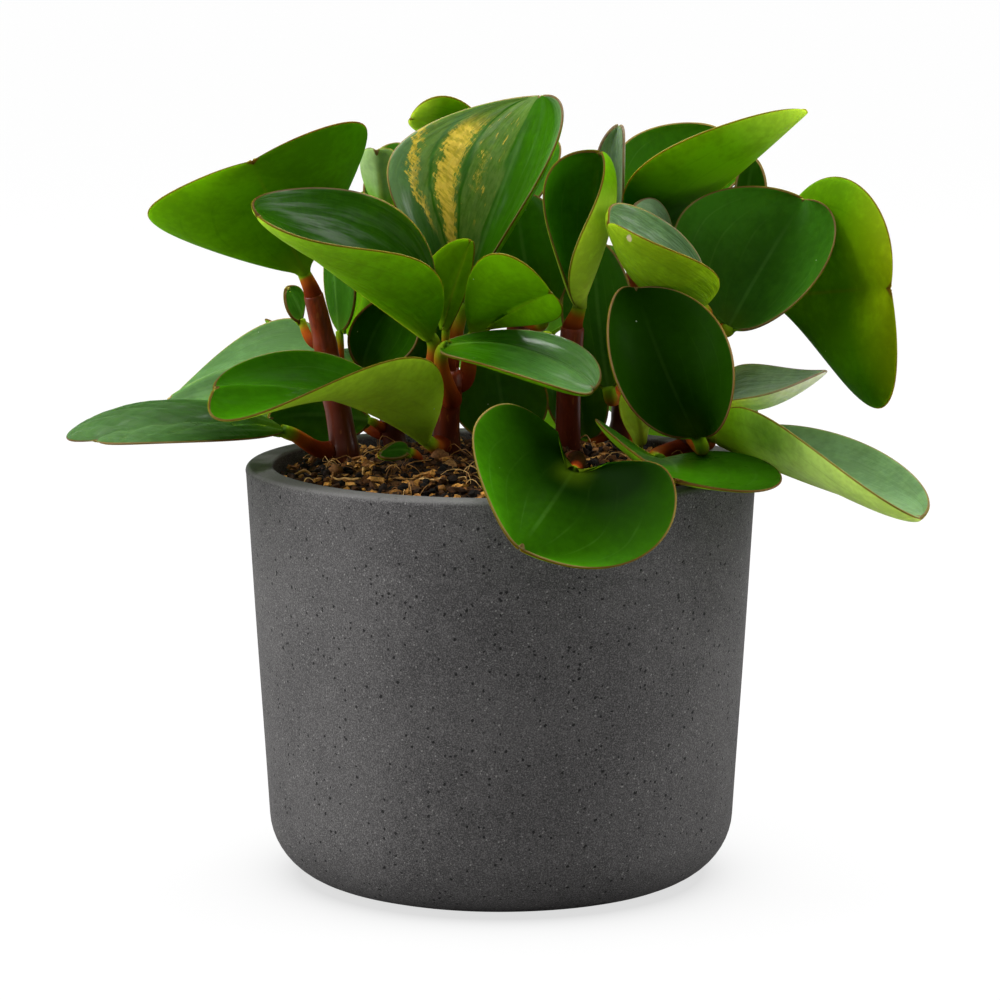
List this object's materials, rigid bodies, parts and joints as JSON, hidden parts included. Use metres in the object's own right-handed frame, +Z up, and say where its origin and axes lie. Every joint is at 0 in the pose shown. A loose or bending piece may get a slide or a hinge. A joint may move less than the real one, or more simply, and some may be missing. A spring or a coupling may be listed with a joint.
{
  "type": "potted plant",
  "caption": "Bushy house plant with thick glossy round leaves on red-brown stems, one leaf streaked yellow, in a round dark grey concrete pot filled with bark soil.",
  "frame": {"origin": "centre of the pot's flat base, on the surface that it stands on", "axes": "+Z up along the pot's axis; -Y is the front, the side that the leaves are arranged for; +X is to the right seen from the front"},
  "size_m": [0.2456, 0.222, 0.2272],
  "materials": {
    "pot": "matt grey concrete with fine dark pores and faint mottling",
    "soil": "matt dark potting soil with bark chips and coir fibres",
    "stem": "smooth satin red-brown",
    "leaf": "glossy waxy green above, lighter yellow-green and satin below, thin red-brown edge",
    "leaf_marked": "glossy green with golden yellow streaks between the veins, lighter below"
  },
  "bodies": {
    "root": {"pot": "pot", "soil": "soil", "stem_left": "stem", "stem_centre": "stem", "stem_middle": "stem", "stem_right": "stem", "stem_back_left": "stem", "stem_back": "stem", "stem_back_right": "stem", "stem_front": "stem", "leaf_left_high": "leaf", "leaf_left_cup": "leaf", "leaf_marked": "leaf_marked", "leaf_centre_small": "leaf", "leaf_ear": "leaf", "leaf_glossy": "leaf", "leaf_left_spoon": "leaf", "leaf_left_low": "leaf", "leaf_left_behind": "leaf", "leaf_left_bud": "leaf", "leaf_edge_on": "leaf", "leaf_pale_inner": "leaf", "leaf_dark_inner": "leaf", "leaf_inner_centre": "leaf", "leaf_top_small": "leaf", "leaf_pale_top": "leaf", "leaf_dark_top": "leaf", "leaf_dark_centre": "leaf", "leaf_upright_spoon": "leaf", "leaf_grey_narrow": "leaf", "leaf_right_back": "leaf", "leaf_right_pointed": "leaf", "leaf_right_sliver": "leaf", "leaf_right_round": "leaf", "leaf_right_outer": "leaf", "leaf_right_cup": "leaf", "leaf_grey_strip": "leaf", "leaf_right_egg": "leaf", "leaf_right_mid": "leaf", "leaf_right_long": "leaf", "leaf_right_low": "leaf", "leaf_front_heart": "leaf", "leaf_seedling": "leaf", "leaf_pale_low": "leaf", "leaf_inner_right": "leaf", "leaf_low_centre": "leaf", "leaf_low_left": "leaf", "leaf_low_right": "leaf", "leaf_back_1": "leaf", "leaf_back_2": "leaf", "leaf_back_3": "leaf", "leaf_back_4": "leaf", "leaf_back_5": "leaf", "leaf_back_6": "leaf", "leaf_back_7": "leaf", "leaf_back_8": "leaf", "leaf_back_9": "leaf", "leaf_back_10": "leaf", "leaf_back_11": "leaf", "leaf_back_12": "leaf"}
  },
  "joints": []
}
